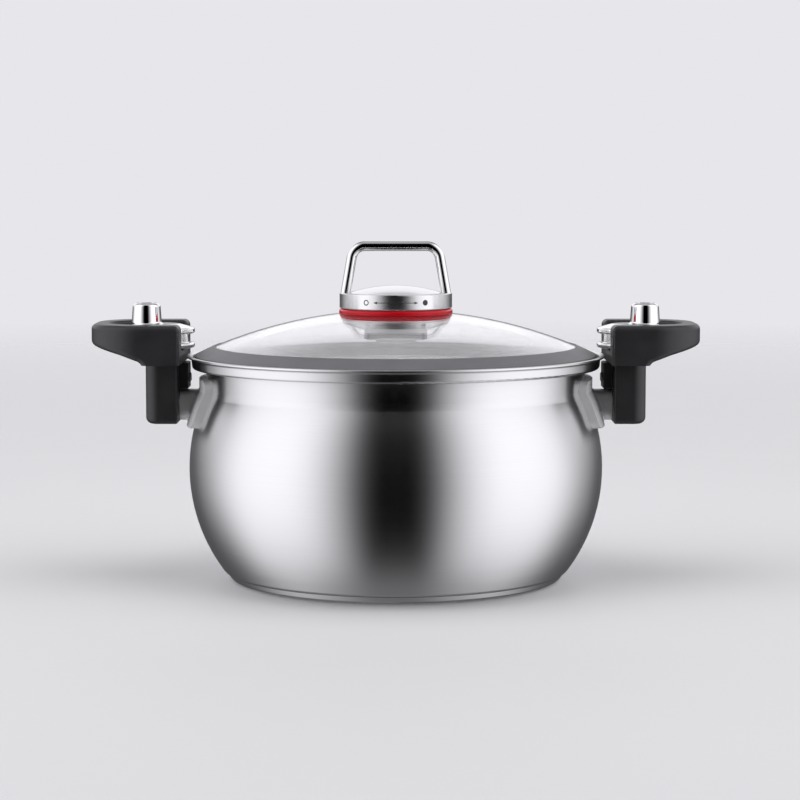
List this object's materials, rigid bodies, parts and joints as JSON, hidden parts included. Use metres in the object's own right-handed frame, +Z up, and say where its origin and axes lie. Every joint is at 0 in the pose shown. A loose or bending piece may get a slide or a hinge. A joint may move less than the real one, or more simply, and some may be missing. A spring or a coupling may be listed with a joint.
{
  "type": "stew pot",
  "caption": "Bellied steel pot with glass lid, red-ringed turning vent dial with a lifting loop, and sliding chrome latches in black side handles.",
  "frame": {"origin": "centre of the base, on the surface the pot stands on", "axes": "+Z up; X runs through both handles; Y is across them, with the turn marks on the -Y side"},
  "size_m": [0.3636, 0.2506, 0.2031],
  "materials": {
    "satin_steel": "satin, circumferential brushing",
    "base_aluminium": "plain",
    "bracket_steel": "satin",
    "fastener_steel": "bright zinc",
    "spring_steel": "drawn wire",
    "latch_chrome": "polished",
    "dial_steel": "satin, turned",
    "polished_steel": "polished",
    "black_bakelite": "satin phenolic",
    "clear_glass": "clear tempered",
    "grey_silicone": "satin silicone",
    "red_silicone": "satin silicone",
    "pale_nylon": "moulded, slightly translucent",
    "mark_ink": "printed ink"
  },
  "bodies": {
    "pot": {"pot_shell": "satin_steel", "base_cap": "satin_steel", "base_core": "base_aluminium", "bracket_plate_left": "bracket_steel", "bracket_stub_left": "bracket_steel", "bracket_nut_left": "fastener_steel", "handle_screw_left": "fastener_steel", "grip_screws_left": "fastener_steel", "handle_post_left": "black_bakelite", "handle_grip_left": "black_bakelite", "inner_cover_left": "black_bakelite", "inner_cover_screw_left": "fastener_steel", "latch_guides_left": "bracket_steel", "guide_screws_left": "fastener_steel", "detent_ball_left": "fastener_steel", "detent_spring_left": "spring_steel", "bracket_plate_right": "bracket_steel", "bracket_stub_right": "bracket_steel", "bracket_nut_right": "fastener_steel", "handle_screw_right": "fastener_steel", "grip_screws_right": "fastener_steel", "handle_post_right": "black_bakelite", "handle_grip_right": "black_bakelite", "inner_cover_right": "black_bakelite", "inner_cover_screw_right": "fastener_steel", "latch_guides_right": "bracket_steel", "guide_screws_right": "fastener_steel", "detent_ball_right": "fastener_steel", "detent_spring_right": "spring_steel"},
    "latch_left": {"latch_cap_left": "latch_chrome", "latch_foot_left": "latch_chrome", "latch_screw_left": "fastener_steel"},
    "latch_right": {"latch_cap_right": "latch_chrome", "latch_foot_right": "latch_chrome", "latch_screw_right": "fastener_steel"},
    "lid": {"lid_glass": "clear_glass", "lid_seal": "grey_silicone", "knob_grommet": "red_silicone", "clamp_cone": "polished_steel", "clamp_nut": "pale_nylon", "vent_body": "bracket_steel", "retaining_ring": "spring_steel"},
    "dial": {"dial_ring": "dial_steel", "dial_cap": "polished_steel", "bail": "polished_steel", "bail_screws": "fastener_steel", "turn_marks": "mark_ink"},
    "valve": {"valve_tip": "grey_silicone", "valve_stem": "fastener_steel", "valve_spring": "spring_steel"}
  },
  "joints": [
    {"name": "latch_left_slide", "type": "slide", "parent": "pot", "child": "latch_left", "axis": [1, 0, 0], "range_m": [0, 0.0087]},
    {"name": "latch_right_slide", "type": "slide", "parent": "pot", "child": "latch_right", "axis": [-1, 0, 0], "range_m": [0, 0.0087]},
    {"name": "lid_lift", "type": "slide", "parent": "pot", "child": "lid", "axis": [0, 0, 1], "range_m": [0, 0.18]},
    {"name": "dial_turn", "type": "hinge", "parent": "lid", "child": "dial", "pos_m": [0, 0, 0.168], "axis": [0, 0, 1], "range_deg": [-30, 30]},
    {"name": "valve_lift", "type": "slide", "parent": "lid", "child": "valve", "axis": [0, 0, 1], "range_m": [-0.001, 0.001], "deforming": ["valve_spring"]}
  ],
  "couplings": [
    {"joint": "valve_lift", "follows": "dial_turn", "m_per_rad": 0.001891}
  ]
}
